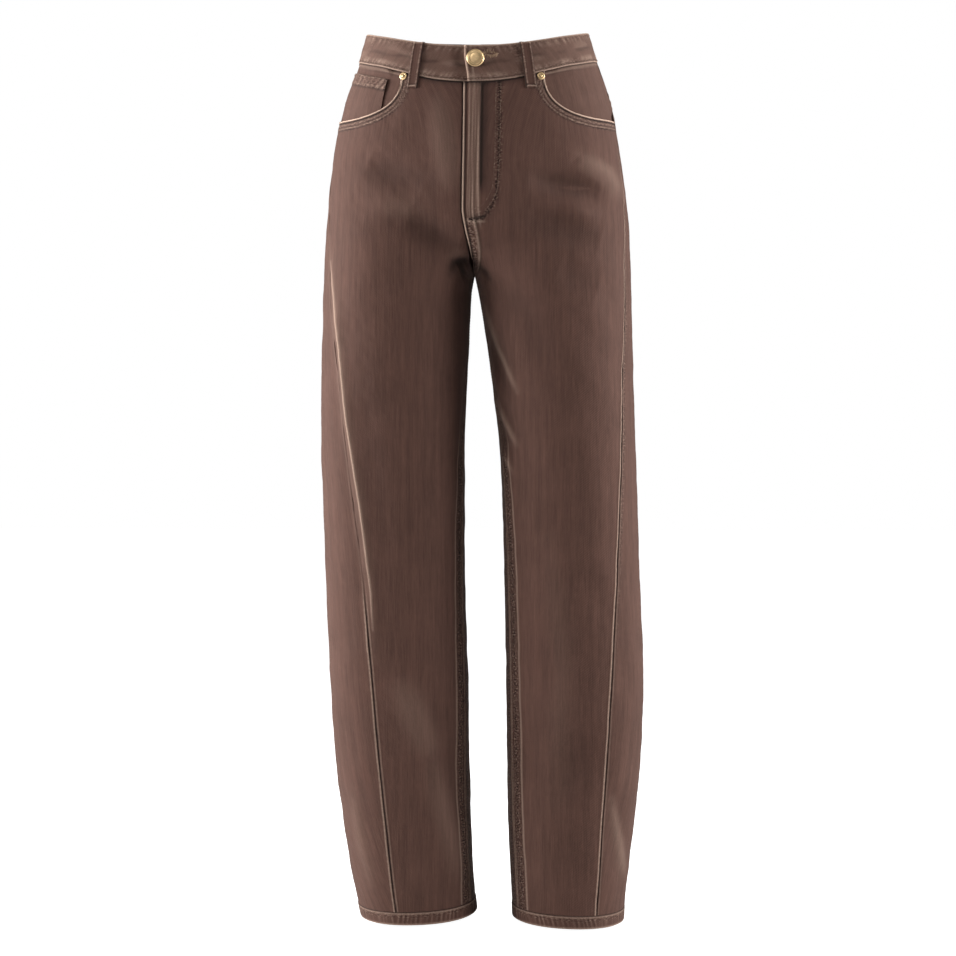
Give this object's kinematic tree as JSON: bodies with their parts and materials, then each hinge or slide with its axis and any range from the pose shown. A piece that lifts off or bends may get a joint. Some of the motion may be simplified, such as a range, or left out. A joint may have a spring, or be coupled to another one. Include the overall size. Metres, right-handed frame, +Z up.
{
  "type": "barrel leg trousers",
  "caption": "High-waisted barrel leg trousers in heavy brown cotton twill, with five pockets, a fly front, a brass shank button, five belt loops and narrow turned hems.",
  "frame": {"origin": "middle of the waist opening, half way down the waistband at its sides, where the wearer's waist holds the trousers", "axes": "+Z up along the legs, -Y to the front, +X to the wearer's left"},
  "size_m": [0.3612, 0.2362, 0.993],
  "materials": {
    "cotton_twill": "washed, matt",
    "facing_twill": "washed, matt",
    "antique_brass": "worn satin"
  },
  "bodies": {
    "root": {"front_panel_right": "cotton_twill", "front_panel_left": "cotton_twill", "back_panel_right": "cotton_twill", "back_panel_left": "cotton_twill", "yoke_right": "cotton_twill", "yoke_left": "cotton_twill", "back_pocket_right": "cotton_twill", "back_pocket_left": "cotton_twill", "hem_band_right": "cotton_twill", "hem_band_left": "cotton_twill", "waistband": "cotton_twill", "fly_shield": "cotton_twill", "belt_loop_front_right": "cotton_twill", "belt_loop_front_left": "cotton_twill", "belt_loop_back_right": "cotton_twill", "belt_loop_back_left": "cotton_twill", "belt_loop_centre_back": "cotton_twill", "pocket_facing_right": "facing_twill", "pocket_facing_left": "facing_twill", "coin_pocket": "facing_twill", "shank_button": "antique_brass", "rivet_right": "antique_brass", "rivet_left": "antique_brass"}
  },
  "joints": []
}
